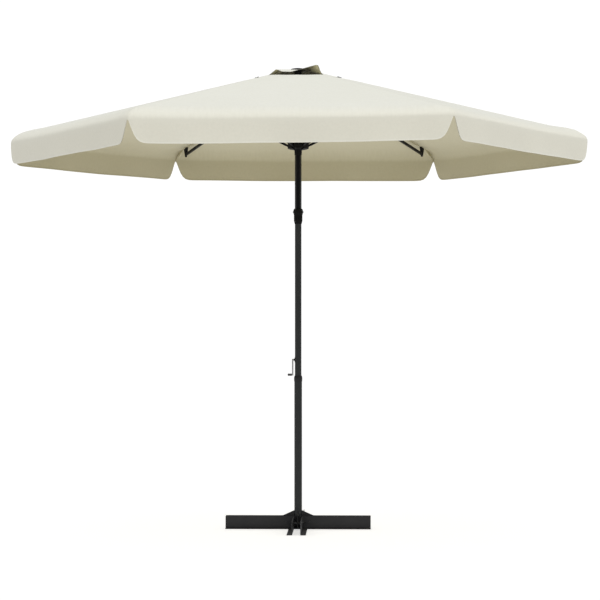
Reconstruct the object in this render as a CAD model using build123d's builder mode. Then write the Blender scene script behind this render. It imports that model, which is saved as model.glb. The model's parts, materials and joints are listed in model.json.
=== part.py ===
"""Hexagonal crank parasol on a steel cross base, 4 m from tip to tip.

Millimetres, +Z up, origin on the floor under the pole. Rib 1 points along +X and the others follow
every 60 degrees, counter-clockwise from above.
"""

import os

from build123d import *
from math import asin, atan2, cos, degrees, hypot, radians, sin, tan

# ---------------------------------------------------------------- driving dimensions
RIBS = 6

# canopy
CANOPY_RADIUS = 2000  # centre to corner of the fold between roof and valance
VALANCE_DROP = 145
FABRIC = 0.8
FABRIC_GAP = 40  # air between a rib and the fabric over it
MID_GORE_GAP = 0.4  # half of the gap between two neighbouring panels
ROOF_END_RADIUS = 1825  # where the roof starts to round over
HOLE_RADIUS = 185  # corner radius of the vent hole
VENT_RADIUS = 285
VENT_INNER_RADIUS = 36
VENT_EDGE_Z = 3143

# ribs and struts
RIB_SLOPE = 13.06  # degrees below level when open
RIB_WIDTH = 14
RIB_DEPTH = 18
TUBE_WALL = 1.2
RIB_LENGTH = 1800  # from the hub pivot to the end of the tube
RIB_TONGUE = 11
RIB_TUBE_START = 30  # the tube starts this far out from the hub pivot
STRUT_REACH = 660  # hub pivot to strut pivot, along the rib
STRUT_DROP = 22  # strut pivot below the rib's centre line
STRUT_WIDTH = 12
STRUT_DEPTH = 16
STRUT_END = 24  # length of the flat eye at each end of a strut
BRACKET_INSIDE = 3.4  # half of the gap between the two ears of a strut bracket
EAR_THICK = 2.6

# mast and hubs
HUB_PIVOT_R = 45
HUB_PIVOT_Z = 3114.9
HUB_RADIUS = 62
HUB_BORE = 6
HUB_SLOT_START = 28  # the slots for the ribs start this far from the axis
CROWN_TOP = 3155.5  # seat of the vent cap, on a neck above the hub
CROWN_RADIUS = 50
CROWN_NECK = 26
FINIAL_RADIUS = 50
FINIAL_RIM = 9
FINIAL_DOME = 6
MAST_R = 22.5
MAST_WALL = 2
MAST_BOTTOM = 760
MAST_TOP = 3086
RUNNER_PIVOT_R = 62
RUNNER_PIVOT_Z = 2634
RUNNER_RADIUS = 73
RUNNER_HEAD = 24  # top of the runner above its pivots
SLEEVE_R = 23.5
SLEEVE_BOTTOM = 2130
GRIP_TOP = 2204
GRIP_BOTTOM = 2100
PIN_R = 3
RUNNING = 0.06  # radial clearance of a turning or sliding fit
FIT = 0.05  # gap between two pieces that are fixed together

# lower pole and base
POLE_R = 26.5
POLE_WALL = 2
POLE_TOP = 1030
POLE_BOTTOM = 8
COLLAR_TOP = 1054
COLLAR_BOTTOM = 1012
BEAM_LENGTH = 1000
BEAM_HEIGHT = 88
FLANGE = 37
STEEL = 4
GAP_HALF = 27.3  # half of the gap between the two angles of a pair
FIN_REACH = 114
FIN_TOP = 126
FIN_SHOULDER = 91  # just above the beams
FIN_THICK = 6
BOLT_R = 4
BOLT_PLACES = (52, 80)  # distances of the through bolts from the pole's axis
BOLT_CLEARANCE = 0.3
BOLT_HEAD = 7.5
HEAD_HEIGHT = 5
NUT_HEIGHT = 6.5
SPACER_R = 7

# crank and cord
CRANK_Z = 1163.5
CRANK_ARM_X = -38
CRANK_LENGTH = 103.5
SHAFT_R = 5
BOSS_R = 8
BOSS_PLATE = (26, 34)
BOSS_PROUD = 24.5  # face of the boss plate, from the mast's axis
DRUM_R = 12
CORD_R = 1.5
PULLEY_Z = 3036
CORD_OUT_Y = 25.5  # the outer run of the cord, just clear of the mast
CORD_IN_Y = -3  # the inner run where it meets the pulley

# ---------------------------------------------------------------- worked out from them
slope = radians(RIB_SLOPE)
roof_lift = (RIB_DEPTH / 2 + FABRIC_GAP + FABRIC) / cos(slope)
pulley_centre_y = (CORD_OUT_Y + CORD_IN_Y) / 2
pulley_cord_r = (CORD_OUT_Y - CORD_IN_Y) / 2
strut_pivot = (
    HUB_PIVOT_R + STRUT_REACH * cos(slope) - STRUT_DROP * sin(slope),
    HUB_PIVOT_Z - STRUT_REACH * sin(slope) - STRUT_DROP * cos(slope),
)
strut_run = (strut_pivot[0] - RUNNER_PIVOT_R, strut_pivot[1] - RUNNER_PIVOT_Z)
strut_length = hypot(*strut_run)
strut_angle = degrees(atan2(strut_run[1], strut_run[0]))

os.makedirs("parts", exist_ok=True)


def roof_z(corner_radius):
    """Height of the fabric's outer face over a rib."""
    return HUB_PIVOT_Z + roof_lift - tan(slope) * (corner_radius - HUB_PIVOT_R)


def finish(part, name):
    part.label = name
    export_step(part, f"parts/{name}.step")


def rib_angle(k):
    return 360 / RIBS * (k - 1)


def radial_plane(k):
    """Upright plane through the mast and rib k: local x points outwards and local y up."""
    turn = radians(rib_angle(k))
    return Plane(origin=(0, 0, 0), x_dir=(cos(turn), sin(turn), 0), z_dir=(sin(turn), -cos(turn), 0))


def along(plane, r, z, angle):
    """The same upright plane with its origin at (r, z) and its x turned up by angle degrees."""
    turn = radians(angle)
    return Plane(
        origin=plane.x_dir * r + Vector(0, 0, z),
        x_dir=plane.x_dir * cos(turn) + Vector(0, 0, sin(turn)),
        z_dir=plane.z_dir,
    )


def dome_middle(radius, height):
    """Radius and rise of the point halfway up a dome whose centre is on its axis."""
    ball = (radius**2 + height**2) / (2 * height)
    half = asin(radius / ball) / 2
    return ball * sin(half), ball * cos(half) - ball + height


# ---------------------------------------------------------------- base
with BuildPart() as cross_beam_angles:
    for side in (1, -1):
        with BuildSketch(Plane.YZ.offset(-BEAM_LENGTH / 2)):
            with BuildLine():
                Polyline(
                    (side * GAP_HALF, 0),
                    (side * (GAP_HALF + FLANGE), 0),
                    (side * (GAP_HALF + FLANGE), STEEL),
                    (side * (GAP_HALF + STEEL), STEEL),
                    (side * (GAP_HALF + STEEL), BEAM_HEIGHT),
                    (side * GAP_HALF, BEAM_HEIGHT),
                    close=True,
                )
            make_face()
        extrude(amount=BEAM_LENGTH)
    with BuildSketch(Plane.XZ):
        for place in BOLT_PLACES:
            with Locations((place, BEAM_HEIGHT / 2), (-place, BEAM_HEIGHT / 2)):
                Circle(BOLT_R + BOLT_CLEARANCE)
    extrude(amount=GAP_HALF + 2 * STEEL, both=True, mode=Mode.SUBTRACT)
    with BuildSketch(Plane.XZ):
        with Locations((0, POLE_BOTTOM - 0.1)):
            Rectangle(FIN_THICK + 0.4, BEAM_HEIGHT, align=(Align.CENTER, Align.MIN))
    extrude(amount=GAP_HALF + 2 * STEEL, both=True, mode=Mode.SUBTRACT)
finish(cross_beam_angles.part, "cross_beam_angles")

leg_start = GAP_HALF + STEEL + FIT
flange_start = GAP_HALF + FLANGE + FIT
with BuildPart() as leg_angles:
    for way in (-1, 1):
        for side in (1, -1):
            with BuildSketch(Plane.YZ.offset(side * GAP_HALF)):
                with BuildLine():
                    Polyline(
                        (way * BEAM_LENGTH / 2, 0),
                        (way * flange_start, 0),
                        (way * flange_start, STEEL + FIT),
                        (way * leg_start, STEEL + FIT),
                        (way * leg_start, BEAM_HEIGHT),
                        (way * BEAM_LENGTH / 2, BEAM_HEIGHT),
                        close=True,
                    )
                make_face()
            extrude(amount=side * STEEL)
            with BuildSketch(Plane.XY):
                with Locations((side * (GAP_HALF + FLANGE / 2), way * (BEAM_LENGTH / 2 + flange_start) / 2)):
                    Rectangle(FLANGE, BEAM_LENGTH / 2 - flange_start)
            extrude(amount=STEEL)
    with BuildSketch(Plane.YZ):
        for place in BOLT_PLACES:
            with Locations((place, BEAM_HEIGHT / 2), (-place, BEAM_HEIGHT / 2)):
                Circle(BOLT_R + BOLT_CLEARANCE)
    extrude(amount=GAP_HALF + 2 * STEEL, both=True, mode=Mode.SUBTRACT)
finish(leg_angles.part, "leg_angles")

with BuildPart() as pole_foot:
    for k in range(4):
        turn = radians(90 * k)
        fin_plane = Plane(origin=(0, 0, 0), x_dir=(cos(turn), sin(turn), 0), z_dir=(sin(turn), -cos(turn), 0))
        with BuildSketch(fin_plane):
            with BuildLine():
                Polyline(
                    (POLE_R + FIT, POLE_BOTTOM),
                    (FIN_REACH, POLE_BOTTOM),
                    (FIN_REACH, FIN_SHOULDER),
                    (FIN_REACH - 10, FIN_SHOULDER),
                    (POLE_R + FIT, FIN_TOP),
                    close=True,
                )
            make_face()
            for place in BOLT_PLACES:
                with Locations((place, BEAM_HEIGHT / 2)):
                    Circle(BOLT_R + BOLT_CLEARANCE, mode=Mode.SUBTRACT)
        extrude(amount=FIN_THICK / 2, both=True)
    with BuildSketch():
        RectangleRounded(2 * GAP_HALF - 1, 2 * GAP_HALF - 1, 4)
    extrude(amount=POLE_BOTTOM - FIT)
finish(pole_foot.part, "pole_foot")

bolt_planes = []
for k in range(4):
    turn = radians(90 * k)
    for place in BOLT_PLACES:
        bolt_planes.append(
            Plane(
                origin=(place * cos(turn), place * sin(turn), BEAM_HEIGHT / 2),
                x_dir=(cos(turn), sin(turn), 0),
                z_dir=(sin(turn), -cos(turn), 0),
            )
        )

with BuildPart() as base_bolts:
    for bolt_plane in bolt_planes:
        head = bolt_plane.offset(GAP_HALF + STEEL + FIT)
        nut = bolt_plane.offset(-GAP_HALF - STEEL - FIT)
        with BuildSketch(nut):
            Circle(BOLT_R)
        extrude(amount=2 * (GAP_HALF + STEEL + FIT))
        with BuildSketch(head):
            RegularPolygon(BOLT_HEAD, 6)
        extrude(amount=HEAD_HEIGHT)
        with BuildSketch(nut):
            RegularPolygon(BOLT_HEAD, 6)
        extrude(amount=-NUT_HEIGHT)
finish(base_bolts.part, "base_bolts")

with BuildPart() as bolt_spacers:
    for bolt_plane in bolt_planes:
        for side in (1, -1):
            with BuildSketch(bolt_plane.offset(side * (FIN_THICK / 2 + FIT))):
                Circle(SPACER_R)
                Circle(BOLT_R + BOLT_CLEARANCE, mode=Mode.SUBTRACT)
            extrude(amount=side * (GAP_HALF - FIN_THICK / 2 - 2 * FIT))
finish(bolt_spacers.part, "bolt_spacers")

# ---------------------------------------------------------------- lower pole
with BuildPart() as lower_pole:
    with BuildSketch(Plane.XY.offset(POLE_BOTTOM)):
        Circle(POLE_R)
        Circle(POLE_R - POLE_WALL, mode=Mode.SUBTRACT)
    extrude(amount=POLE_TOP - POLE_BOTTOM)
finish(lower_pole.part, "lower_pole")

bush_out = POLE_R - POLE_WALL - FIT
with BuildPart() as pole_bushes:
    with BuildSketch(Plane.XY.offset(POLE_TOP - 90)):
        Circle(bush_out)
        Circle(MAST_R + RUNNING, mode=Mode.SUBTRACT)
    extrude(amount=90)
    with BuildSketch(Plane.XY.offset(MAST_BOTTOM - 20)):
        Circle(bush_out)
    extrude(amount=20 - FIT)
finish(pole_bushes.part, "pole_bushes")

with BuildPart() as clamp_collar:
    with BuildSketch(Plane.XZ):
        with BuildLine():
            Polyline(
                (POLE_R + RUNNING, COLLAR_BOTTOM),
                (POLE_R + 1, COLLAR_BOTTOM),
                (POLE_R + 2.3, COLLAR_BOTTOM + 12),
                (POLE_R + 2.3, COLLAR_BOTTOM + 28),
                (MAST_R + 2.5, COLLAR_TOP),
                (MAST_R + RUNNING, COLLAR_TOP),
                (MAST_R + RUNNING, POLE_TOP + FIT),
                (POLE_R + RUNNING, POLE_TOP + FIT),
                close=True,
            )
        make_face()
    revolve(axis=Axis.Z)
finish(clamp_collar.part, "clamp_collar")

# ---------------------------------------------------------------- mast and its gear
pin_hole = PIN_R + FIT
with BuildPart() as mast_tube:
    with BuildSketch(Plane.XY.offset(MAST_BOTTOM)):
        Circle(MAST_R)
        Circle(MAST_R - MAST_WALL, mode=Mode.SUBTRACT)
    extrude(amount=MAST_TOP - MAST_BOTTOM)
    with BuildSketch(Plane.YZ):
        with Locations((0, CRANK_Z)):
            Circle(SHAFT_R + RUNNING)
    extrude(amount=2 * MAST_R, both=True, mode=Mode.SUBTRACT)
    with BuildSketch(Plane.YZ):
        with Locations((pulley_centre_y, PULLEY_Z)):
            Circle(pin_hole)
    extrude(amount=2 * MAST_R, both=True, mode=Mode.SUBTRACT)
    with BuildSketch(Plane.XZ):
        with Locations((0, PULLEY_Z)):
            SlotOverall(52, 9, rotation=90)
    extrude(amount=-2 * MAST_R, mode=Mode.SUBTRACT)
finish(mast_tube.part, "mast_tube")

hub_bottom = MAST_TOP - 30
hub_disc_bottom = HUB_PIVOT_Z - 20
hub_top = HUB_PIVOT_Z + 8
with BuildPart() as top_hub:
    with BuildSketch(Plane.XZ):
        with BuildLine():
            Polyline(
                (MAST_R + FIT, hub_bottom),
                (MAST_R + 6, hub_bottom),
                (MAST_R + 8, hub_disc_bottom - 4),
                (HUB_RADIUS - 8, hub_disc_bottom),
                (HUB_RADIUS, hub_disc_bottom + 6),
                (HUB_RADIUS, hub_top),
                (CROWN_NECK, hub_top),
                (CROWN_NECK, CROWN_TOP - 8),
                (CROWN_RADIUS, CROWN_TOP - 4),
                (CROWN_RADIUS, CROWN_TOP),
                (HUB_BORE, CROWN_TOP),
                (HUB_BORE, MAST_TOP + FIT),
                (MAST_R + FIT, MAST_TOP + FIT),
                close=True,
            )
        make_face()
    revolve(axis=Axis.Z)
    for k in range(1, RIBS + 1):
        side = radial_plane(k)
        with BuildSketch(Plane(origin=(0, 0, hub_disc_bottom - 5), x_dir=side.x_dir, z_dir=(0, 0, 1))):
            with Locations((HUB_SLOT_START, 0)):
                Rectangle(HUB_RADIUS, RIB_TONGUE + 0.6, align=(Align.MIN, Align.CENTER))
        extrude(amount=hub_top - hub_disc_bottom + 6, mode=Mode.SUBTRACT)
        with BuildSketch(side):
            with Locations((HUB_PIVOT_R, HUB_PIVOT_Z)):
                Circle(pin_hole)
        extrude(amount=16, both=True, mode=Mode.SUBTRACT)
finish(top_hub.part, "top_hub")

with BuildPart() as hub_pins:
    for k in range(1, RIBS + 1):
        with BuildSketch(radial_plane(k)):
            with Locations((HUB_PIVOT_R, HUB_PIVOT_Z)):
                Circle(PIN_R)
        extrude(amount=15, both=True)
finish(hub_pins.part, "hub_pins")

finial_bottom = CROWN_TOP + 4
finial_shoulder = finial_bottom + FINIAL_RIM
with BuildPart() as finial:
    with BuildSketch(Plane.XZ):
        with BuildLine():
            Polyline(
                (0, MAST_TOP + 8),
                (HUB_BORE - FIT, MAST_TOP + 8),
                (HUB_BORE - FIT, finial_bottom),
                (FINIAL_RADIUS - 1, finial_bottom),
                (FINIAL_RADIUS, finial_bottom + 1),
                (FINIAL_RADIUS, finial_shoulder - 2),
                (FINIAL_RADIUS - 2, finial_shoulder),
            )
            middle_r, middle_rise = dome_middle(FINIAL_RADIUS - 2, FINIAL_DOME)
            ThreePointArc(
                (FINIAL_RADIUS - 2, finial_shoulder),
                (middle_r, finial_shoulder + middle_rise),
                (0, finial_shoulder + FINIAL_DOME),
            )
            Line((0, finial_shoulder + FINIAL_DOME), (0, MAST_TOP + 8))
        make_face()
    revolve(axis=Axis.Z)
finish(finial.part, "finial")

with BuildPart() as pulley:
    with BuildSketch(Plane.YZ):
        with Locations((pulley_centre_y, PULLEY_Z)):
            Circle(pulley_cord_r - CORD_R - FIT)
            Circle(PIN_R + RUNNING, mode=Mode.SUBTRACT)
    extrude(amount=3.5, both=True)
    for side in (1, -1):
        with BuildSketch(Plane.YZ.offset(side * 2)):
            with Locations((pulley_centre_y, PULLEY_Z)):
                Circle(pulley_cord_r + 0.5)
                Circle(PIN_R + RUNNING, mode=Mode.SUBTRACT)
        extrude(amount=side * 1.5)
finish(pulley.part, "pulley")

pin_half = (MAST_R**2 - pulley_centre_y**2) ** 0.5
with BuildPart() as pulley_pin:
    with BuildSketch(Plane.YZ):
        with Locations((pulley_centre_y, PULLEY_Z)):
            Circle(PIN_R)
    extrude(amount=pin_half, both=True)
finish(pulley_pin.part, "pulley_pin")

drum_cord_y = -(DRUM_R + CORD_R + FIT)
with BuildPart() as cord_inside:
    with BuildLine() as inner_route:
        rise = Line((0, drum_cord_y, CRANK_Z), (0, CORD_IN_Y, PULLEY_Z - 40))
        Line(rise @ 1, (0, CORD_IN_Y, PULLEY_Z))
        ThreePointArc(
            (0, CORD_IN_Y, PULLEY_Z),
            (0, pulley_centre_y, PULLEY_Z + pulley_cord_r),
            (0, CORD_OUT_Y, PULLEY_Z),
        )
    with BuildSketch(Plane(origin=inner_route.line @ 0, z_dir=inner_route.line % 0)):
        Circle(CORD_R)
    sweep(transition=Transition.RIGHT)
finish(cord_inside.part, "cord_inside")

runner_top = RUNNER_PIVOT_Z + RUNNER_HEAD
with BuildPart() as lift_cord:
    with BuildSketch(Plane.XY.offset(runner_top + FIT)):
        with Locations((0, CORD_OUT_Y)):
            Circle(CORD_R)
    extrude(amount=PULLEY_Z - runner_top - 2 * FIT)
finish(lift_cord.part, "lift_cord")

# ---------------------------------------------------------------- crank
boss_end = -31
with BuildPart() as crank_boss:
    with BuildSketch(Plane.YZ.offset(boss_end)):
        with Locations((0, CRANK_Z)):
            Circle(BOSS_R)
    extrude(amount=-boss_end)
    with BuildSketch(Plane.YZ.offset(-BOSS_PROUD)):
        with Locations((0, CRANK_Z)):
            RectangleRounded(*BOSS_PLATE, 6)
    extrude(amount=BOSS_PROUD)
    with BuildSketch(Plane.XY.offset(CRANK_Z - 60)):
        Circle(MAST_R + FIT)
    extrude(amount=120, mode=Mode.SUBTRACT)
    with BuildSketch(Plane.YZ.offset(-60)):
        with Locations((0, CRANK_Z)):
            Circle(SHAFT_R + RUNNING)
    extrude(amount=80, mode=Mode.SUBTRACT)
finish(crank_boss.part, "crank_boss")

arm_in = CRANK_ARM_X + 5
with BuildPart() as crank_shaft:
    with BuildSketch(Plane.YZ.offset(arm_in)):
        with Locations((0, CRANK_Z)):
            Circle(SHAFT_R)
    extrude(amount=MAST_R - 0.5 - arm_in)
    with BuildSketch(Plane.YZ.offset(-9)):
        with Locations((0, CRANK_Z)):
            Circle(DRUM_R)
    extrude(amount=18)
    for side in (1, -1):
        with BuildSketch(Plane.YZ.offset(side * 9)):
            with Locations((0, CRANK_Z)):
                Circle(DRUM_R + 4)
        extrude(amount=side * 1.5)
finish(crank_shaft.part, "crank_shaft")

arm_bottom = CRANK_Z - CRANK_LENGTH
with BuildPart() as crank_arm:
    with BuildSketch(Plane.YZ.offset(CRANK_ARM_X - 5)):
        with Locations((0, CRANK_Z - CRANK_LENGTH / 2)):
            SlotCenterToCenter(CRANK_LENGTH, 12, rotation=90)
    extrude(amount=10 - FIT)
    fillet(crank_arm.edges().filter_by(Axis.Z), 3)
    with BuildSketch(Plane.YZ.offset(CRANK_ARM_X)):
        with Locations((0, arm_bottom)):
            Circle(PIN_R)
    extrude(amount=-28)
finish(crank_arm.part, "crank_arm")

grip_start = CRANK_ARM_X - 6

with BuildPart() as crank_grip:
    with BuildSketch(Plane.XY.offset(arm_bottom)):
        with BuildLine():
            Polyline(
                (grip_start, PIN_R + RUNNING),
                (grip_start, 7),
                (grip_start - 3, 8.5),
                (grip_start - 12, 7.4),
                (grip_start - 22, 8.5),
            )
            middle_r, middle_rise = dome_middle(8.5, 7)
            ThreePointArc(
                (grip_start - 22, 8.5),
                (grip_start - 22 - middle_rise, middle_r),
                (grip_start - 29, 0),
            )
            Polyline(
                (grip_start - 29, 0),
                (grip_start - 23, 0),
                (grip_start - 23, PIN_R + RUNNING),
                (grip_start, PIN_R + RUNNING),
            )
        make_face()
    revolve(axis=Axis((0, 0, arm_bottom), (1, 0, 0)))
finish(crank_grip.part, "crank_grip")

# ---------------------------------------------------------------- runner
sleeve_top = RUNNER_PIVOT_Z - 60
with BuildPart() as runner_hub:
    with BuildSketch(Plane.XZ):
        with BuildLine():
            Polyline(
                (MAST_R + RUNNING, sleeve_top + FIT),
                (25, sleeve_top + FIT),
                (26, RUNNER_PIVOT_Z - 26),
                (58, RUNNER_PIVOT_Z - 20),
                (RUNNER_RADIUS, RUNNER_PIVOT_Z - 14),
                (RUNNER_RADIUS, runner_top - 8),
                (60, runner_top),
                (MAST_R + RUNNING, runner_top),
                close=True,
            )
        make_face()
    revolve(axis=Axis.Z)
    for k in range(1, RIBS + 1):
        side = radial_plane(k)
        with BuildSketch(side):
            with Locations((RUNNER_RADIUS - 7, RUNNER_PIVOT_Z)):
                Rectangle(50, 60)
        extrude(amount=STRUT_WIDTH / 2 + 0.4, both=True, mode=Mode.SUBTRACT)
        with BuildSketch(side):
            with Locations((RUNNER_PIVOT_R, RUNNER_PIVOT_Z)):
                Circle(PIN_R + 0.3)
            with BuildLine():
                Polyline(
                    (RUNNER_PIVOT_R - PIN_R - 0.3, RUNNER_PIVOT_Z),
                    (RUNNER_PIVOT_R + PIN_R + 0.3, RUNNER_PIVOT_Z),
                    (RUNNER_PIVOT_R + PIN_R + 8, RUNNER_PIVOT_Z - 30),
                    (RUNNER_PIVOT_R - PIN_R - 0.3, RUNNER_PIVOT_Z - 30),
                    close=True,
                )
            make_face()
        extrude(amount=STRUT_WIDTH / 2 + 6, both=True, mode=Mode.SUBTRACT)
finish(runner_hub.part, "runner_hub")

with BuildPart() as runner_sleeve:
    with BuildSketch(Plane.XY.offset(SLEEVE_BOTTOM)):
        Circle(SLEEVE_R)
        Circle(MAST_R + RUNNING, mode=Mode.SUBTRACT)
    extrude(amount=sleeve_top - SLEEVE_BOTTOM)
finish(runner_sleeve.part, "runner_sleeve")

ring_bottom = GRIP_TOP - 43
with BuildPart() as grip_collar:
    with BuildSketch(Plane.XZ):
        with BuildLine():
            Polyline(
                (SLEEVE_R + FIT, GRIP_TOP),
                (29, GRIP_TOP),
                (33, GRIP_TOP - 12),
                (33, GRIP_TOP - 32),
                (29.5, ring_bottom),
                (29.5, ring_bottom - 38),
                (24.5, GRIP_BOTTOM),
                (MAST_R + RUNNING, GRIP_BOTTOM),
                (MAST_R + RUNNING, SLEEVE_BOTTOM - FIT),
                (SLEEVE_R + FIT, SLEEVE_BOTTOM - FIT),
                close=True,
            )
        make_face()
    revolve(axis=Axis.Z)
    with BuildSketch(Plane.XY.offset(ring_bottom - 36)):
        with PolarLocations(30.5, 24):
            Circle(1.8)
    extrude(amount=34, mode=Mode.SUBTRACT)
finish(grip_collar.part, "grip_collar")

with BuildPart() as collar_bolts:
    for side in (1, -1):
        with BuildSketch(Plane.YZ.offset(side * (33 + FIT))):
            with Locations((0, GRIP_TOP - 22)):
                RegularPolygon(5.5, 6)
        extrude(amount=side * 3.5)
finish(collar_bolts.part, "collar_bolts")

# ---------------------------------------------------------------- ribs, their fittings and struts
half_rib = RIB_DEPTH / 2
cap_top = half_rib + FABRIC_GAP - 2
for k in range(1, RIBS + 1):
    rib_plane = along(radial_plane(k), HUB_PIVOT_R, HUB_PIVOT_Z, -RIB_SLOPE)

    with BuildPart() as rib:
        with BuildSketch(rib_plane):
            with Locations((RIB_TUBE_START, 0)):
                Rectangle(RIB_LENGTH - RIB_TUBE_START, RIB_DEPTH, align=(Align.MIN, Align.CENTER))
        extrude(amount=RIB_WIDTH / 2, both=True)
        with BuildSketch(rib_plane):
            with Locations((RIB_TUBE_START + 10, 0)):
                Rectangle(RIB_LENGTH, RIB_DEPTH - 2 * TUBE_WALL, align=(Align.MIN, Align.CENTER))
        extrude(amount=RIB_WIDTH / 2 - TUBE_WALL, both=True, mode=Mode.SUBTRACT)
        with BuildSketch(rib_plane):
            Circle(7)
            Rectangle(RIB_TUBE_START + 2, 14, align=(Align.MIN, Align.CENTER))
            Circle(PIN_R + RUNNING, mode=Mode.SUBTRACT)
        extrude(amount=RIB_TONGUE / 2, both=True)
    finish(rib.part, f"rib_{k}")

    with BuildPart() as rib_cap:
        with BuildSketch(rib_plane):
            with BuildLine():
                Polyline(
                    (RIB_LENGTH - 34, cap_top),
                    (RIB_LENGTH + 18, cap_top - 2),
                    (RIB_LENGTH + 9, -half_rib - 10),
                    (RIB_LENGTH + 5, -half_rib - 10),
                    (RIB_LENGTH + FIT, -half_rib),
                    (RIB_LENGTH + FIT, half_rib + 1),
                    (RIB_LENGTH - 14, half_rib + 1),
                    close=True,
                )
            make_face()
        extrude(amount=RIB_WIDTH / 2, both=True)
        with BuildSketch(rib_plane):
            with Locations((RIB_LENGTH - 12, 0)):
                Rectangle(26, RIB_DEPTH - 2 * TUBE_WALL - 0.2)
        extrude(amount=RIB_WIDTH / 2 - TUBE_WALL - 0.1, both=True)
    finish(rib_cap.part, f"rib_cap_{k}")

    with BuildPart() as strut_bracket:
        for side in (1, -1):
            ear_plane = rib_plane.offset(side * BRACKET_INSIDE)
            with BuildSketch(ear_plane):
                with Locations((STRUT_REACH, -STRUT_DROP)):
                    Circle(8)
                with Locations((STRUT_REACH, -(STRUT_DROP + half_rib) / 2 - 1)):
                    Rectangle(16, STRUT_DROP - half_rib - 2)
                with Locations((STRUT_REACH, -STRUT_DROP)):
                    Circle(pin_hole, mode=Mode.SUBTRACT)
            extrude(amount=side * EAR_THICK)
        with BuildSketch(rib_plane):
            with Locations((STRUT_REACH, -half_rib - FIT - 1)):
                Rectangle(44, 2)
        extrude(amount=BRACKET_INSIDE + EAR_THICK, both=True)
        with BuildSketch(rib_plane):
            with Locations((STRUT_REACH, -STRUT_DROP)):
                Circle(PIN_R)
        extrude(amount=BRACKET_INSIDE + EAR_THICK + 2, both=True)
    finish(strut_bracket.part, f"strut_bracket_{k}")

    strut_plane = along(radial_plane(k), *strut_pivot, strut_angle + 180)
    with BuildPart() as strut:
        with BuildSketch(strut_plane):
            with Locations((strut_length / 2, 0)):
                Rectangle(strut_length - 2 * STRUT_END, STRUT_DEPTH)
        extrude(amount=STRUT_WIDTH / 2, both=True)
        with BuildSketch(strut_plane):
            with Locations((strut_length / 2, 0)):
                Rectangle(strut_length - 2 * (STRUT_END + TUBE_WALL), STRUT_DEPTH - 2 * TUBE_WALL)
        extrude(amount=STRUT_WIDTH / 2 - TUBE_WALL, both=True, mode=Mode.SUBTRACT)
        with BuildSketch(strut_plane):
            Circle(8)
            Rectangle(STRUT_END + 2, 14, align=(Align.MIN, Align.CENTER))
            Circle(PIN_R + RUNNING, mode=Mode.SUBTRACT)
        extrude(amount=BRACKET_INSIDE - 0.2, both=True)
        with BuildSketch(strut_plane):
            with Locations((strut_length, 0)):
                Circle(7)
                Rectangle(STRUT_END + 2, 14, align=(Align.MAX, Align.CENTER))
        extrude(amount=5, both=True)
        with BuildSketch(strut_plane):
            with Locations((strut_length, 0)):
                Circle(PIN_R)
        extrude(amount=STRUT_WIDTH / 2 + 5, both=True)
    finish(strut.part, f"strut_{k}")

# ---------------------------------------------------------------- fabric
fold_z = roof_z(ROOF_END_RADIUS) - 96
roof_levels = (
    (HOLE_RADIUS, roof_z(HOLE_RADIUS)),
    (ROOF_END_RADIUS, roof_z(ROOF_END_RADIUS)),
    (CANOPY_RADIUS - 40, fold_z + 38),
    (CANOPY_RADIUS, fold_z),
    (CANOPY_RADIUS - 4, fold_z - VALANCE_DROP),
)
inset = FABRIC / cos(radians(180 / RIBS))

with BuildPart() as canopy_outside:
    for low, high in zip(roof_levels[1:], roof_levels[:-1]):
        for radius, height in (low, high):
            with BuildSketch(Plane.XY.offset(height)):
                RegularPolygon(radius, RIBS)
        loft(ruled=True)

with BuildPart() as canopy_inside:
    for low, high in zip(roof_levels[1:], roof_levels[:-1]):
        for radius, height in (low, high):
            with BuildSketch(Plane.XY.offset(height - FABRIC)):
                RegularPolygon(radius - inset, RIBS)
        loft(ruled=True)

with BuildPart() as canopy_shell:
    add(canopy_outside.part)
    add(canopy_inside.part, mode=Mode.SUBTRACT)
    with BuildSketch(Plane.XY.offset(roof_z(HOLE_RADIUS) - 10)):
        RegularPolygon(HOLE_RADIUS - inset, RIBS)
    extrude(amount=20, mode=Mode.SUBTRACT)

vent_levels = (
    (VENT_INNER_RADIUS, CROWN_TOP + 2.4),
    (CROWN_RADIUS + 30, CROWN_TOP + 2.2),
    (VENT_RADIUS, VENT_EDGE_Z),
)
with BuildPart() as vent_shell:
    for lift, mode in ((0, Mode.ADD), (-FABRIC, Mode.SUBTRACT)):
        for low, high in zip(vent_levels[1:], vent_levels[:-1]):
            for radius, height in (low, high):
                with BuildSketch(Plane.XY.offset(height + lift)):
                    RegularPolygon(radius, RIBS)
            loft(ruled=True, mode=mode)
    with BuildSketch(Plane.XY.offset(CROWN_TOP)):
        RegularPolygon(VENT_INNER_RADIUS, RIBS)
    extrude(amount=10, mode=Mode.SUBTRACT)

wedge_reach = 2 * CANOPY_RADIUS
wedge_start = MID_GORE_GAP / sin(radians(180 / RIBS))
for k in range(1, RIBS + 1):
    left, right = radians(rib_angle(k) + 180 / RIBS), radians(rib_angle(k) - 180 / RIBS)
    middle = radians(rib_angle(k))
    tip = Vector(wedge_start * cos(middle), wedge_start * sin(middle))
    for shell, piece_name in ((canopy_shell, "canopy_panel"), (vent_shell, "vent_panel")):
        with BuildPart() as panel:
            add(shell.part)
            with BuildSketch(Plane.XY.offset(2300)):
                with BuildLine():
                    Polyline(
                        tip,
                        tip + Vector(wedge_reach * cos(right), wedge_reach * sin(right)),
                        tip + Vector(wedge_reach * cos(left), wedge_reach * sin(left)),
                        close=True,
                    )
                make_face()
            extrude(amount=1000, mode=Mode.INTERSECT)
        finish(panel.part, f"{piece_name}_{k}")
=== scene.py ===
"""Looks of the hexagonal crank parasol: sewn fabric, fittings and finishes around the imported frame.

Metres, +Z up, origin on the floor under the pole. Rib 1 points along +X and the others follow every
60 degrees, counter-clockwise from above. Gore 1 lies between ribs 1 and 2.
"""

import json
import math

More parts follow.
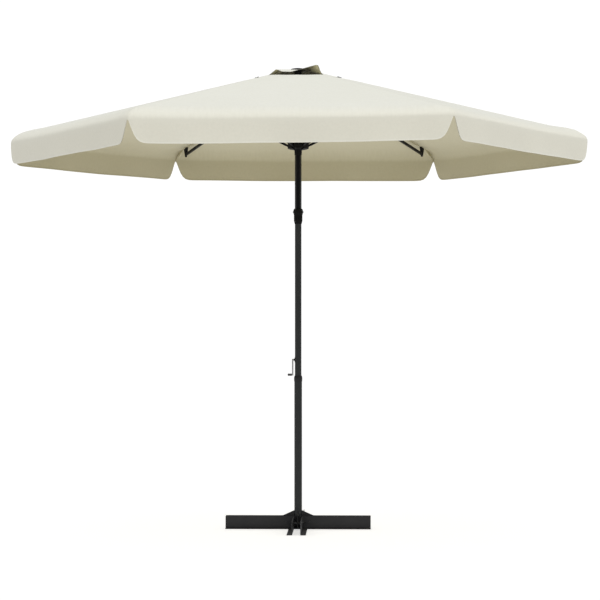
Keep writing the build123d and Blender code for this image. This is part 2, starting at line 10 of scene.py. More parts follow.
import bpy
import numpy as np
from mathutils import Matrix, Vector

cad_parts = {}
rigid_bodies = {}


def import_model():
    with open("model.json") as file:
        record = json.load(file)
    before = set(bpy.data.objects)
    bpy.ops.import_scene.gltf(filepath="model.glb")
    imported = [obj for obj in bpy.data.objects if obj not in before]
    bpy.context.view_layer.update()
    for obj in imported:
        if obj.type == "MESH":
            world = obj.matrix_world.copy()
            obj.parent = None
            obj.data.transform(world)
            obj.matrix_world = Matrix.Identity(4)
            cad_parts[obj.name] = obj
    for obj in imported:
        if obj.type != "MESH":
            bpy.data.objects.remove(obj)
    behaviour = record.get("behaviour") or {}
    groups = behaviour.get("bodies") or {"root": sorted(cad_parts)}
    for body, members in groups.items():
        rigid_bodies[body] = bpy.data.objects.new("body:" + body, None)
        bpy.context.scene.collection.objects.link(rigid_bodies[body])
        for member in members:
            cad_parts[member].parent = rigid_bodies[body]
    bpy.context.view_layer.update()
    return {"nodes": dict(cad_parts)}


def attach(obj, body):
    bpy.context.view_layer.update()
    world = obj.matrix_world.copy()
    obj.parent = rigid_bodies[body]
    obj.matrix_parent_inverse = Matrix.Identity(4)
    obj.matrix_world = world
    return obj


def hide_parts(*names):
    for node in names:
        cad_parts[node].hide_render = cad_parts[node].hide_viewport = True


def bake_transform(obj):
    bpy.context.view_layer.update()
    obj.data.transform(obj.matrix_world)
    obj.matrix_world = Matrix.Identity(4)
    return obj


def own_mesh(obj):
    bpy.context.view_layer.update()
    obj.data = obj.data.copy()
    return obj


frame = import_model()

RIBS = 6
COS30 = math.cos(math.radians(30))
TAN30 = math.tan(math.radians(30))

# ---------------------------------------------------------------- sizes shared with the frame
HUB_R = 0.045
HUB_Z = 3.1149
RIB_SLOPE = math.radians(13.06)
RIB_HALF = 0.009
FABRIC = 0.0008
FABRIC_GAP = 0.040
ROOF_LIFT = (RIB_HALF + FABRIC_GAP + FABRIC) / math.cos(RIB_SLOPE)
HOLE = 0.185
CORNER = 2.0
BEND = 1.81
FOLD_Z = 2.657
VALANCE = 0.145
CAP_IN = 0.036
CROWN_R = 0.050
CAP_OUT = 0.285
CAP_SHOULDER = 0.064  # the cap is level inside this, over the crown
CAP_TOP = 3.1579
CORD_Y = 0.0255
CORD_R = 0.0015
PULLEY_Z = 3.036
RUNNER_TOP = 2.658

# ---------------------------------------------------------------- stitching and painted shadow under the cap
STITCH_FROM_HEM = 0.0105
STITCH_FROM_SEAM = 0.0062
STITCH_HALF = 0.0007
STITCH_PITCH = 0.0042
STITCH_SHARE = 0.7  # how much of the pitch is thread
PAINTED_SHADOW_FULL = 0.14  # distance in from the cap's edge where the painted shadow under the cap is full
PAINTED_SHADOW_END = 0.035  # and where it has ended

# ---------------------------------------------------------------- how the fabric hangs
CREST = 0.012  # how softly the fabric turns over a rib
CORNER_ROUND = 0.020  # how softly it turns round a corner of the hexagon
BEND_FULLNESS = 0.012  # how far the bend swells above the roof's line at a corner
ROOF_SAG = 0.006
HOLE_SAG = 0.007
HOLE_DROP = (0.012, 0.018, 0.014, 0.012, 0.036, 0.036)  # rib 1 to 6, at the vent hole
HEM = 0.012
HEM_RAISE = 0.0007  # a hem stands this much above the cloth
HEM_UNDER = 0.0009  # and this much below it
FELLED_SHARE = 0.8  # a felled seam's extra thickness, as a share of a hem's
SEAM_HALF = 0.008
NOTCH_REACH = 0.044
HOLE_REACH = 0.10  # how far out the dip at the vent hole reaches
DRAWN = 0.0012  # faint waves of the tight roof
BEND_LENGTH = 0.21  # length of cloth over the bend
NOTCH_START = 0.002  # depth of the valance right at a corner
WAVE = (0.006, 0.003)  # long and short waves of the valance
CURL = 0.007  # how far the valance turns out beside a corner
DIMPLE_AT = 1.866  # corner radius of the dimple just past a rib's end fitting
DIMPLE_REACH = 0.024  # its spread along the rib
DIMPLE_SIDE = 0.035  # and across it
BULGE_AT = 1.87  # the same three for the broader bulge around it
BULGE_REACH = 0.055
BULGE_SIDE = 0.09
FOLD_WAVE = 0.002  # slow waves of the fold line
CORNER_LIFT = (0.014, 0.005, 0.013, 0.001, 0.000, 0.018)  # rib 1 to 6, at the fold
TIP_BULGE = (0.012, 0.007, 0.010, 0.005, 0.003, 0.006)  # rib 1 to 6, just inside the fold
TIP_DIMPLE = (0.004, 0.006, 0.006, 0.003, 0.004, 0.004)
EDGE_SAG = (0.005, 0.004, 0.005, 0.004, 0.009, 0.003)  # gore 1 to 6
# The cap's edge: ribs and parts of the way to the next one, and the height there. Its corners on
# ribs 5 and 6 have come off their ties and stand up.
CAP_EDGE = (
    (1.0, 3.1095),
    (1.5, 3.105),
    (2.0, 3.120),
    (2.5, 3.108),
    (3.0, 3.116),
    (3.5, 3.105),
    (4.0, 3.1095),
    (4.55, 3.103),
    (5.0, 3.138),
    (5.14, 3.122),
    (5.35, 3.1205),
    (5.95, 3.167),
    (6.0, 3.165),
    (6.13, 3.118),
    (6.25, 3.106),
    (6.5, 3.103),
    (7.0, 3.1095),
)


def ease(x):
    x = np.clip(x, 0, 1)
    return x * x * (3 - 2 * x)


def roof_height(c):
    """Height of the fabric's outer face over a rib, at corner radius c."""
    return HUB_Z + ROOF_LIFT - math.tan(RIB_SLOPE) * (c - HUB_R)


def rib_way(k):
    """Unit vector outwards along rib k, on the level."""
    turn = math.radians(60 * (k - 1))
    return np.array([math.cos(turn), math.sin(turn), 0.0])


def rib_side(k):
    """Unit vector across rib k, counter-clockwise."""
    turn = math.radians(60 * (k - 1))
    return np.array([-math.sin(turn), math.cos(turn), 0.0])


# ---------------------------------------------------------------- materials
def new_material(name, colour, roughness, metallic=0.0, **sockets):
    """A Principled material and its node tree's handy parts."""
    material = bpy.data.materials.new(name)
    material.use_nodes = True
    shader = material.node_tree.nodes["Principled BSDF"]
    shader.inputs["Base Color"].default_value = (*colour, 1)
    shader.inputs["Roughness"].default_value = roughness
    shader.inputs["Metallic"].default_value = metallic
    for socket, value in sockets.items():
        shader.inputs[socket.replace("_", " ")].default_value = value
    return material, shader


def add_node(material, kind, **values):
    node = material.node_tree.nodes.new(kind)
    for name, value in values.items():
        if name in node.inputs:
            node.inputs[name].default_value = value
        else:
            setattr(node, name, value)
    return node


def link(material, source, target):
    material.node_tree.links.new(source, target)


def maths(material, operation, first, second=None):
    """A Math node's output. Each operand is a socket or a number."""
    node = material.node_tree.nodes.new("ShaderNodeMath")
    node.operation = operation
    for socket, operand in zip(node.inputs, (first, second)):
        if isinstance(operand, (int, float)):
            socket.default_value = operand
        elif operand is not None:
            link(material, operand, socket)
    return node.outputs[0]


def mixed(material, share, first, second):
    """Colour between two, by a share that is a socket."""
    node = material.node_tree.nodes.new("ShaderNodeMix")
    node.data_type = "RGBA"
    link(material, share, node.inputs[0])
    for socket, operand in zip((node.inputs[6], node.inputs[7]), (first, second)):
        if isinstance(operand, tuple):
            socket.default_value = (*operand, 1)
        else:
            link(material, operand, socket)
    return node.outputs[2]


def ranged(material, value, low, high, to_low, to_high):
    node = material.node_tree.nodes.new("ShaderNodeMapRange")
    for socket, operand in zip(node.inputs[1:5], (low, high, to_low, to_high)):
        socket.default_value = operand
    link(material, value, node.inputs[0])
    return node.outputs[0]


def noise(material, place, scale, detail=3.0, stretch=(1, 1, 1)):
    node = add_node(material, "ShaderNodeTexNoise", Scale=scale, Detail=detail)
    if stretch != (1, 1, 1):
        mapping = add_node(material, "ShaderNodeMapping")
        mapping.inputs["Scale"].default_value = stretch
        link(material, place, mapping.inputs["Vector"])
        place = mapping.outputs[0]
    link(material, place, node.inputs["Vector"])
    return node.outputs[0]


def bumped(material, shader, height, distance, strength=1.0):
    bump = add_node(material, "ShaderNodeBump", Strength=strength, Distance=distance)
    link(material, height, bump.inputs["Height"])
    link(material, bump.outputs[0], shader.inputs["Normal"])


def object_place(material):
    return add_node(material, "ShaderNodeTexCoord").outputs["Object"]


def fabric(name, colour, tint, thread_colour, painted_valance_shade, painted_hem_tone, painted_cap_shadow=None, weave=0.00055):
    """Woven polyester. The mesh carries each point's place in the cloth and its distance from a hem.

    The painted valance shade, a darker and warmer copy of the cloth's colour for shade and light through the
    cloth, takes over across the bend and is full on the valance. Hems have their own painted tone.
    """
    material, shader = new_material(name, colour, 0.82, Sheen_Weight=0.18, Sheen_Roughness=0.55)
    shader.inputs["Specular IOR Level"].default_value = 0.25
    cloth = add_node(material, "ShaderNodeAttribute", attribute_name="cloth")
    seams = add_node(material, "ShaderNodeAttribute", attribute_name="seam")
    parts = add_node(material, "ShaderNodeSeparateXYZ")
    link(material, cloth.outputs["Vector"], parts.inputs[0])
    across, down, hem = parts.outputs
    seam = seams.outputs["Fac"]
    warp = maths(material, "SINE", maths(material, "MULTIPLY", across, math.pi / weave))
    weft = maths(material, "SINE", maths(material, "MULTIPLY", down, math.pi / weave))
    woven = maths(material, "MULTIPLY", warp, weft)
    slubs = noise(material, cloth.outputs["Vector"], 60, 4, (1.0, 0.12, 1.0))
    clouds = noise(material, object_place(material), 2.2, 4)
    height = maths(material, "ADD", maths(material, "MULTIPLY", woven, 0.35), slubs)

    def stitched(distance, at, along):
        near = maths(material, "ABSOLUTE", maths(material, "SUBTRACT", distance, at))
        line = maths(material, "LESS_THAN", near, STITCH_HALF)
        step = maths(material, "FRACT", maths(material, "MULTIPLY", along, 1 / STITCH_PITCH))
        return maths(material, "MULTIPLY", line, maths(material, "LESS_THAN", step, STITCH_SHARE))

    stitches = maths(
        material,
        "MAXIMUM",
        stitched(hem, STITCH_FROM_HEM, across),
        stitched(seam, STITCH_FROM_SEAM, down),
    )
    height = maths(material, "SUBTRACT", height, maths(material, "MULTIPLY", stitches, 1.5))
    bumped(material, shader, height, 0.00016, 0.7)
    shade = ranged(material, clouds, 0.3, 0.7, 0.0, 1.0)
    toned = mixed(material, shade, colour, tint)
    # Painted shade: across the bend and on the valance the colour turns darker and warmer, for the shade
    # there and the light through the cloth.
    toned = mixed(material, ranged(material, down, BEND, BEND + 0.25, 0.0, 1.0), toned, painted_valance_shade)
    # Painted shadow: in under the vent cap the cloth turns near black, for the shade there.
    if painted_cap_shadow:
        cap_shadow_share = ranged(material, down, CAP_OUT - PAINTED_SHADOW_FULL, CAP_OUT - PAINTED_SHADOW_END, 1.0, 0.0)
        toned = mixed(material, cap_shadow_share, toned, painted_cap_shadow)
    # Painted highlight: the hem band is lighter on the outside, for the light caught by the rolled edge. On
    # the undersides it is darker.
    hem_band = ranged(material, hem, HEM, HEM - 0.0015, 0.0, 1.0)
    toned = mixed(material, hem_band, toned, painted_hem_tone)
    threads = ranged(material, slubs, 0.35, 0.75, 0.0, 0.22)
    toned = mixed(material, threads, toned, thread_colour)
    toned = mixed(material, maths(material, "MULTIPLY", stitches, 0.55), toned, thread_colour)
    link(material, toned, shader.inputs["Base Color"])
    return material


def coated(name, colour, roughness, worn, peel=650, depth=0.00012, wear=0.25, **sockets):
    """Powder-coated or moulded surface: fine peel or grain, uneven sheen, and lighter rubbed edges."""
    material, shader = new_material(name, colour, roughness, **sockets)
    place = object_place(material)
    grain = noise(material, place, peel, 2)
    bumped(material, shader, grain, depth, 0.5)
    patches = noise(material, place, 9, 4)
    link(
        material,
        ranged(material, patches, 0.3, 0.7, roughness - 0.06, roughness + 0.07),
        shader.inputs["Roughness"],
    )
    bevel = add_node(material, "ShaderNodeBevel", Radius=0.0012)
    geometry = add_node(material, "ShaderNodeNewGeometry")
    dot = add_node(material, "ShaderNodeVectorMath", operation="DOT_PRODUCT")
    link(material, bevel.outputs[0], dot.inputs[0])
    link(material, geometry.outputs["Normal"], dot.inputs[1])
    edge = ranged(material, dot.outputs["Value"], 0.97, 0.8, 0.0, wear)
    chips = ranged(material, noise(material, place, 55, 5), 0.42, 0.62, 0, 1)
    rubbed = maths(material, "MULTIPLY", edge, chips)
    dusty = mixed(material, ranged(material, patches, 0.4, 0.8, 0, 0.25), colour, worn)
    link(material, mixed(material, rubbed, dusty, worn), shader.inputs["Base Color"])
    return material


def brushed(name, colour, roughness, dull, scale=(1, 1, 40)):
    """Bare or plated metal with drawn lines and dull patches."""
    material, shader = new_material(name, colour, roughness, 1.0)
    place = object_place(material)
    lines = noise(material, place, 400, 3, scale)
    bumped(material, shader, lines, 0.00005, 0.6)
    patches = noise(material, place, 30, 5)
    link(
        material,
        ranged(material, patches, 0.3, 0.75, roughness - 0.07, roughness + 0.14),
        shader.inputs["Roughness"],
    )
    link(
        material,
        mixed(material, ranged(material, patches, 0.35, 0.7, 0, 0.5), colour, dull),
        shader.inputs["Base Color"],
    )
    return material


def braided(name, colour, light):
    """Braided cord: crossed strands wound round it."""
    material, shader = new_material(name, colour, 0.8, Sheen_Weight=0.2)
    place = object_place(material)
    parts = add_node(material, "ShaderNodeSeparateXYZ")
    link(material, place, parts.inputs[0])
    rise = maths(material, "MULTIPLY", parts.outputs[2], 1400)
    turn = maths(material, "MULTIPLY", parts.outputs[0], 1500)
    one = maths(material, "SINE", maths(material, "ADD", rise, turn))
    two = maths(material, "SINE", maths(material, "SUBTRACT", rise, turn))
    strands = maths(material, "MAXIMUM", one, two)
    bumped(material, shader, strands, 0.0004, 0.8)
    toned = mixed(material, ranged(material, strands, -0.2, 1, 0, 1), colour, light)
    link(material, toned, shader.inputs["Base Color"])
    return material


# Painted shade and painted light: the undersides are darker, more olive copies of the cream cloth, for the
# shade under the canopy and the warm light through it. The cap's underside is a lighter copy of the
# canopy's, painted light on its raised corners.
ROOF_COLOUR = (0.745, 0.745, 0.675)
VALANCE_SHADED_COLOUR = (0.72, 0.70, 0.60)
UNDER_SHADED_COLOUR = (0.535, 0.495, 0.345)
outside = fabric(
    "canopy_outside",
    ROOF_COLOUR,
    (0.73, 0.73, 0.655),
    (0.60, 0.59, 0.50),
    VALANCE_SHADED_COLOUR,
    (0.76, 0.745, 0.65),
)
inside = fabric(
    "canopy_inside",
    UNDER_SHADED_COLOUR,
    (0.52, 0.48, 0.33),
    (0.40, 0.365, 0.22),
    (0.51, 0.47, 0.325),
    (0.45, 0.41, 0.27),
)
# The cap's underside: its last colour, near black, is the painted shadow in under the cap.
cap_inside = fabric(
    "cap_inside",
    (0.66, 0.62, 0.41),
    (0.64, 0.60, 0.39),
    (0.50, 0.46, 0.30),
    (0.62, 0.57, 0.37),
    (0.62, 0.58, 0.40),
    (0.016, 0.015, 0.008),
)
# The cap's underside is matt, so that the painted shadow under the cap stays deep.
for socket in ("Sheen Weight", "Specular IOR Level"):
    cap_inside.node_tree.nodes["Principled BSDF"].inputs[socket].default_value = 0.02
dull = {"Specular_IOR_Level": 0.28}
black = {"Specular_IOR_Level": 0.12}
base_steel = coated("base_steel", (0.022, 0.022, 0.023), 0.55, (0.06, 0.06, 0.062), **dull)
pole_steel = coated("pole_steel", (0.017, 0.019, 0.0195), 0.45, (0.045, 0.047, 0.05), wear=0.12, **dull)
mast_steel = coated("mast_steel", (0.017, 0.019, 0.0195), 0.42, (0.045, 0.047, 0.05), wear=0.12, **dull)
sleeve = coated("sleeve_gloss", (0.008, 0.008, 0.009), 0.14, (0.02, 0.02, 0.022), depth=0.00002, wear=0.08)
# The sleeve shines only where it turns away.
grazing = add_node(sleeve, "ShaderNodeLayerWeight", Blend=0.5)
link(
    sleeve,
    ranged(sleeve, grazing.outputs["Facing"], 0.08, 0.45, 0.03, 1.0),
    sleeve.node_tree.nodes["Principled BSDF"].inputs["Specular IOR Level"],
)
rib_steel = coated("frame_steel", (0.004, 0.004, 0.0045), 0.40, (0.02, 0.02, 0.021), wear=0.2, **black)
plastic = coated("black_plastic", (0.012, 0.012, 0.013), 0.45, (0.03, 0.03, 0.032), 1400, 0.0001, **dull)
rubber = coated("black_rubber", (0.004, 0.004, 0.004), 0.6, (0.015, 0.015, 0.015), 900, 0.0002, **black)
handle = coated("handle_plastic", (0.09, 0.09, 0.092), 0.5, (0.14, 0.14, 0.14), 900, 0.0002, **dull)
grey_metal = brushed("crank_metal", (0.40, 0.40, 0.40), 0.36, (0.28, 0.28, 0.29))
zinc = brushed("zinc_plate", (0.66, 0.65, 0.62), 0.36, (0.40, 0.39, 0.37), (1, 1, 1))
black_zinc = brushed("black_zinc", (0.05, 0.05, 0.052), 0.40, (0.03, 0.03, 0.03), (1, 1, 1))
cord_fibre = braided("cord_fibre", (0.05, 0.05, 0.05), (0.22, 0.22, 0.21))
webbing = coated("tie_webbing", (0.015, 0.015, 0.015), 0.7, (0.03, 0.03, 0.03), peel=500, depth=0.0003)

FINISHES = (
    (base_steel, "cross_beam_angles leg_angles pole_foot"),
    (pole_steel, "lower_pole"),
    (mast_steel, "mast_tube"),
    (sleeve, "runner_sleeve"),
    (plastic, "clamp_collar top_hub crank_boss pulley pole_bushes"),
    (zinc, "hub_pins pulley_pin crank_shaft"),
    (black_zinc, "base_bolts bolt_spacers"),
    (rib_steel, "collar_bolts"),
    (grey_metal, "crank_arm"),
    (handle, "crank_grip"),
    (rubber, "runner_hub grip_collar finial"),
    (cord_fibre, "cord_inside"),
)
finish_of = {node: material for material, nodes in FINISHES for node in nodes.split()}
for k in range(1, RIBS + 1):
    finish_of[f"rib_{k}"] = rib_steel
    finish_of[f"strut_{k}"] = rib_steel
    finish_of[f"strut_bracket_{k}"] = rib_steel
    finish_of[f"rib_cap_{k}"] = rubber
for node, material in finish_of.items():
    cad_mesh = frame["nodes"][node].data
    cad_mesh.materials.clear()
    cad_mesh.materials.append(material)


# ---------------------------------------------------------------- mesh helpers
def new_piece(name, points, faces, materials, face_material=None, smooth=True):
    mesh = bpy.data.meshes.new(name)
    mesh.from_pydata([tuple(p) for p in points], [], [tuple(int(i) for i in f) for f in faces])
    for material in materials:
        mesh.materials.append(material)
    if face_material is not None:
        mesh.polygons.foreach_set("material_index", np.array(face_material, np.int32))
    mesh.polygons.foreach_set("use_smooth", np.full(len(mesh.polygons), smooth))
    mesh.update()
    piece = bpy.data.objects.new(name, mesh)
    bpy.context.scene.collection.objects.link(piece)
    return piece


def grid_normals(grid):
    """Unit normals of a grid of points, with the rows running outwards and down."""
    down = np.gradient(grid, axis=0)
    across = np.gradient(grid, axis=1)
    normal = np.cross(down, across)
    size = np.linalg.norm(normal, axis=2, keepdims=True)
    return normal / np.maximum(size, 1e-12)


def levelled(normals, column, way):
    """Takes out of a column's normals what points across the rib, so both sides of it agree."""
    flat = normals[:, column] - np.outer(normals[:, column] @ way, way)
    normals[:, column] = flat / np.maximum(np.linalg.norm(flat, axis=1, keepdims=True), 1e-12)


def add_cloth(mesh, cloth, seam):
    """Writes each point's place in the cloth and its distance from a seam, for the fabric materials."""
    place = mesh.attributes.new("cloth", "FLOAT_VECTOR", "POINT")
    place.data.foreach_set("vector", cloth.astype(np.float32).ravel())
    near = mesh.attributes.new("seam", "FLOAT", "POINT")
    near.data.foreach_set("value", seam.astype(np.float32).ravel())


def sheet_mesh(name, outer, inner, outer_normal, inner_normal, cloth, seam, under_side):
    """A closed thin sheet from an outer and an inner grid of points, with its cloth attributes."""
    rows, columns = outer.shape[:2]
    count = rows * columns
    index = np.arange(count).reshape(rows, columns)
    a, b = index[:-1, :-1].ravel(), index[:-1, 1:].ravel()
    c, d = index[1:, 1:].ravel(), index[1:, :-1].ravel()
    top = np.stack([a, d, c, b], 1)
    under = np.stack([a, b, c, d], 1) + count
    rim = np.concatenate([index[0, :], index[1:, -1], index[-1, -2::-1], index[-2:0:-1, 0]])
    after = np.roll(rim, -1)
    wall = np.stack([rim, after, after + count, rim + count], 1)
    faces = np.concatenate([top, under, wall])
    slots = np.concatenate([np.zeros(len(top)), np.ones(len(under)), np.zeros(len(wall))])
    points = np.concatenate([outer.reshape(-1, 3), inner.reshape(-1, 3)])
    piece = new_piece(name, points, faces, (outside, under_side), slots)
    add_cloth(piece.data, np.concatenate([cloth.reshape(-1, 3)] * 2), np.concatenate([seam.ravel()] * 2))
    normals = np.concatenate([outer_normal.reshape(-1, 3), -inner_normal.reshape(-1, 3)])
    piece.data.normals_split_custom_set_from_vertices([tuple(n) for n in normals])
    return piece


# ---------------------------------------------------------------- canopy
HALF_COLUMNS = 26
half = np.linspace(0, 1, HALF_COLUMNS) ** 2.2
ACROSS = np.concatenate([half - 1, (1 - half)[::-1][1:]])
MIDDLE = HALF_COLUMNS - 1
ROOF_ROWS = np.concatenate(
    [HOLE + np.array([0, 0.001, 0.008, 0.0145, 0.0155]), np.linspace(HOLE + 0.03, BEND, 27)]
)
BEND_ROWS = np.linspace(0, 1, 14)[1:]
VALANCE_ROWS = np.linspace(0, 1, 9)[1:]
HEM_ROWS = np.array([0.06, 0.5, 0.88, 1.0])


def gore_place(g, c, across, out, pull):
    """Points of gore g on the hexagon of corner radius c, moved outwards and pulled in at its corners."""
    turn = math.radians(60 * g - 30)
    way = np.array([math.cos(turn), math.sin(turn)])
    edge = np.array([-math.sin(turn), math.cos(turn)])
    flat = np.outer(c * COS30 + out, way) + np.outer(across * c / 2, edge)
    near, far = rib_way(g)[:2], rib_way(g + 1)[:2]
    return flat - np.where(across[:, None] < 0, near, far) * pull[:, None]


def gore_grid(g):
    """Outer points of gore g: rows from the vent hole down to the hem, columns from rib g to rib g + 1."""
    e = ACROSS
    belly = 1 - e * e
    from_rib = (1 - np.abs(e)) * CORNER / 2
    first, second = CORNER_LIFT[g - 1], CORNER_LIFT[g % RIBS]
    lift = first + (second - first) * ease((e + 1) / 2) - EDGE_SAG[g - 1] * belly
    lift = lift + FOLD_WAVE * belly * np.sin(5.1 * e + 1.7 * g)
    dimple = np.where(e < 0, TIP_DIMPLE[g - 1], TIP_DIMPLE[g % RIBS])
    bulge = np.where(e < 0, TIP_BULGE[g - 1], TIP_BULGE[g % RIBS])
    drop = HOLE_DROP[g - 1] + (HOLE_DROP[g % RIBS] - HOLE_DROP[g - 1]) * ease((e + 1) / 2)
    points, cloth = [], []
    flats = np.zeros_like(e)

    def roof_z(c):
        q = (1 - np.abs(e)) * c / 2 * COS30
        crest = c - TAN30 * (q + CREST - np.sqrt(q * q + CREST * CREST))
        sag = ROOF_SAG * c / CORNER * belly
        sag = sag + (drop + HOLE_SAG * belly) * math.exp(-(((c - HOLE) / HOLE_REACH) ** 2))
        drawn = DRAWN * belly * np.sin(7 * e + g) * math.sin(2.6 * c + g)
        return roof_height(crest) - sag + drawn

    def add_row(c, z, out, length, hem, upper=1.0):
        q = (1 - np.abs(e)) * np.mean(c) / 2 * COS30
        softness = CORNER_ROUND * ease((np.mean(c) - BEND) / (CORNER - BEND))
        pull = TAN30 * (np.sqrt(q * q + softness**2) - q) * np.clip(1 - q / 0.3, 0, 1)
        level = np.broadcast_to(c, e.shape)
        flat = gore_place(g, level, e, out, pull)
        dip = ((level - DIMPLE_AT) / DIMPLE_REACH) ** 2 / 2 + (q / DIMPLE_SIDE) ** 2 / 2
        swell = ((level - BULGE_AT) / BULGE_REACH) ** 2 / 2 + (q / BULGE_SIDE) ** 2 / 2
        points.append(np.column_stack([flat, z - dimple * np.exp(-dip) + bulge * np.exp(-swell) * upper]))
        cloth.append(np.column_stack([e * level / 2, np.broadcast_to(length, e.shape), hem]))

    for c in ROOF_ROWS:
        add_row(c, roof_z(c), flats, c, np.full_like(e, c - HOLE))
    start = roof_z(BEND)
    corner_z = start - math.tan(RIB_SLOPE) * (CORNER - BEND) + BEND_FULLNESS * np.abs(e) ** 6
    end = FOLD_Z + lift
    for t in BEND_ROWS:
        c = (1 - t) ** 2 * BEND + (1 - (1 - t) ** 2) * CORNER
        z = (1 - t) ** 2 * start + 2 * t * (1 - t) * corner_z + t * t * end
        add_row(c, z, flats, BEND + BEND_LENGTH * t, np.full_like(e, 0.5))
    depth = NOTCH_START + VALANCE * (1 - np.exp(-((from_rib / NOTCH_REACH) ** 1.6)))
    steep = np.abs(np.gradient(depth, from_rib + 1e-9 * np.arange(len(e))))
    hem = np.minimum(HEM * np.sqrt(1 + steep**2), 0.4 * depth)
    wave = WAVE[0] * np.sin(6.2 * e + 2.1 * g) + WAVE[1] * np.sin(15 * e + 0.9 * g)
    curl = CURL * np.exp(-((from_rib / 0.09) ** 2))
    downs = [(depth - hem) * t for t in VALANCE_ROWS] + [depth - hem * (1 - t) for t in HEM_ROWS]
    for down in downs:
        share = down / VALANCE
        out = (wave * belly**0.5 + curl) * share**1.4 - 0.002 * share
        add_row(CORNER, end - down, out, BEND + BEND_LENGTH + down, depth - down, 0.0)
    return np.array(points), np.array(cloth)


def raised(grid, cloth, seam, ways):
    """Outer and inner faces of a sheet, thicker at its hems and seams, and their normals."""
    base = grid_normals(grid)
    for column, way in ways:
        levelled(base, column, way)
    hem = ease((HEM + 0.0006 - cloth[:, :, 2]) / 0.0008)
    felled = ease((SEAM_HALF + 0.002 - seam) / 0.002)
    extra = np.maximum(hem, felled * FELLED_SHARE)[:, :, None]
    outer = grid + base * (HEM_RAISE * extra)
    inner = grid - base * (FABRIC + HEM_UNDER * extra)
    outer_normal, inner_normal = grid_normals(outer), grid_normals(inner)
    for column, way in ways:
        levelled(outer_normal, column, way)
        levelled(inner_normal, column, way)
    return outer, inner, outer_normal, inner_normal


def halves(g, grid, cloth, name, under_side):
    """The two halves of gore g, as sheets, each with the rib that carries it."""
    last = len(ACROSS) - 1
    c_of_row = np.linalg.norm(grid[:, 0, :2], axis=1)
    seam = (1 - np.abs(ACROSS))[None, :] * c_of_row[:, None] / 2 * COS30
    ways = ((0, rib_side(g)), (last, rib_side(g + 1)))
    outer, inner, outer_normal, inner_normal = raised(grid, cloth, seam, ways)
    for side, columns, k in (("a", slice(0, MIDDLE + 1), g), ("b", slice(MIDDLE, last + 1), g % RIBS + 1)):
        yield (
            sheet_mesh(
                f"{name}_{g}{side}",
                outer[:, columns],
                inner[:, columns],
                outer_normal[:, columns],
                inner_normal[:, columns],
                cloth[:, columns],
                seam[:, columns],
                under_side,
            ),
            k,
            1 if side == "a" else -1,
        )


FOLD_TILT = math.radians(8.8)
rib_up = math.cos(RIB_SLOPE)
rib_lines = {}
for g in range(1, RIBS + 1):
    grid, cloth = gore_grid(g)
    rib_lines[g] = grid[:, 0]
    for piece, k, side in halves(g, grid, cloth, "canopy", inside):
        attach(piece, f"rib_{k}")
        upright = math.sin(RIB_SLOPE) * rib_way(k) + np.array([0, 0, rib_up])
        axis = side * math.cos(FOLD_TILT) * rib_side(k) - math.sin(FOLD_TILT) * upright
        anchor = HUB_R * rib_way(k) + np.array([0, 0, roof_height(HUB_R)])
        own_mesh(piece)
        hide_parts(f"canopy_panel_{k}")


# ---------------------------------------------------------------- vent cap
CAP_CURVE = 1.15
CAP_SAG = 0.003
CAP_ROWS = np.concatenate(
    [
        np.array([0, 0.01, 0.02, 0.03]) + CAP_IN,
        np.linspace(0.078, CAP_OUT - 0.02, 13),
        CAP_OUT - np.array([0.0130, 0.0120, 0.006, 0.001, 0]),
    ]
)


def cap_edge(around):
    """Height of the cap's edge, at a rib number and part of the way to the next."""
    places, heights = zip(*CAP_EDGE)
    spread = np.linspace(-0.03, 0.03, 7)
    return np.mean([np.interp(1 + (around - 1 + shift) % RIBS, places, heights) for shift in spread], axis=0)


def cap_grid(g):
    e = ACROSS
    edge = cap_edge(g + (e + 1) / 2)
    points, cloth = [], []
    for c in CAP_ROWS:
        share = np.clip((c - CAP_SHOULDER) / (CAP_OUT - CAP_SHOULDER), 0, 1) ** CAP_CURVE
        z = CAP_TOP + (edge - CAP_TOP) * share - CAP_SAG * (1 - e * e) * share * (1 - share)
        flat = gore_place(g, np.full_like(e, c), e, np.zeros_like(e), np.zeros_like(e))
        points.append(np.column_stack([flat, z]))
        cloth.append(np.column_stack([e * c / 2, np.full_like(e, c), np.full_like(e, CAP_OUT - c)]))
    return np.array(points), np.array(cloth)


for g in range(1, RIBS + 1):
    grid, cloth = cap_grid(g)
    for piece, k, side in halves(g, grid, cloth, "vent_cap", cap_inside):
        held = CROWN_R * rib_way(k) + np.array([0, 0, CAP_TOP])
        loose = CAP_OUT * rib_way(k) + np.array([0, 0, CAP_TOP])
        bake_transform(piece)
        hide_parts(f"vent_panel_{k}")


# ---------------------------------------------------------------- seams, pockets and ties
def strip(name, middle, across, half_width, half_thick, materials):
    """A band along a path of points: across and the path's own direction span it."""
    along = np.gradient(middle, axis=0)
    along = along / np.linalg.norm(along, axis=1, keepdims=True)
    thick = np.cross(along, across)
    thick = thick / np.linalg.norm(thick, axis=1, keepdims=True) * half_thick
    wide = across * np.reshape(half_width, (-1, 1))
    corners = (-wide - thick, wide - thick, wide + thick, thick - wide)
    return tube_of_rings(name, np.stack([middle + corner for corner in corners], 1), materials)


def tube_of_rings(name, rings, materials, smooth=False):
    """A closed skin over a row of rings of points."""
    count, size = rings.shape[:2]
    index = np.arange(count * size).reshape(count, size)
    near, far = index[:-1], index[1:]
    sides = np.stack([near, np.roll(near, -1, 1), np.roll(far, -1, 1), far], 2).reshape(-1, 4)
    faces = [tuple(face) for face in sides] + [tuple(index[0, ::-1]), tuple(index[-1])]
    return new_piece(name, rings.reshape(-1, 3), faces, materials, None, smooth)


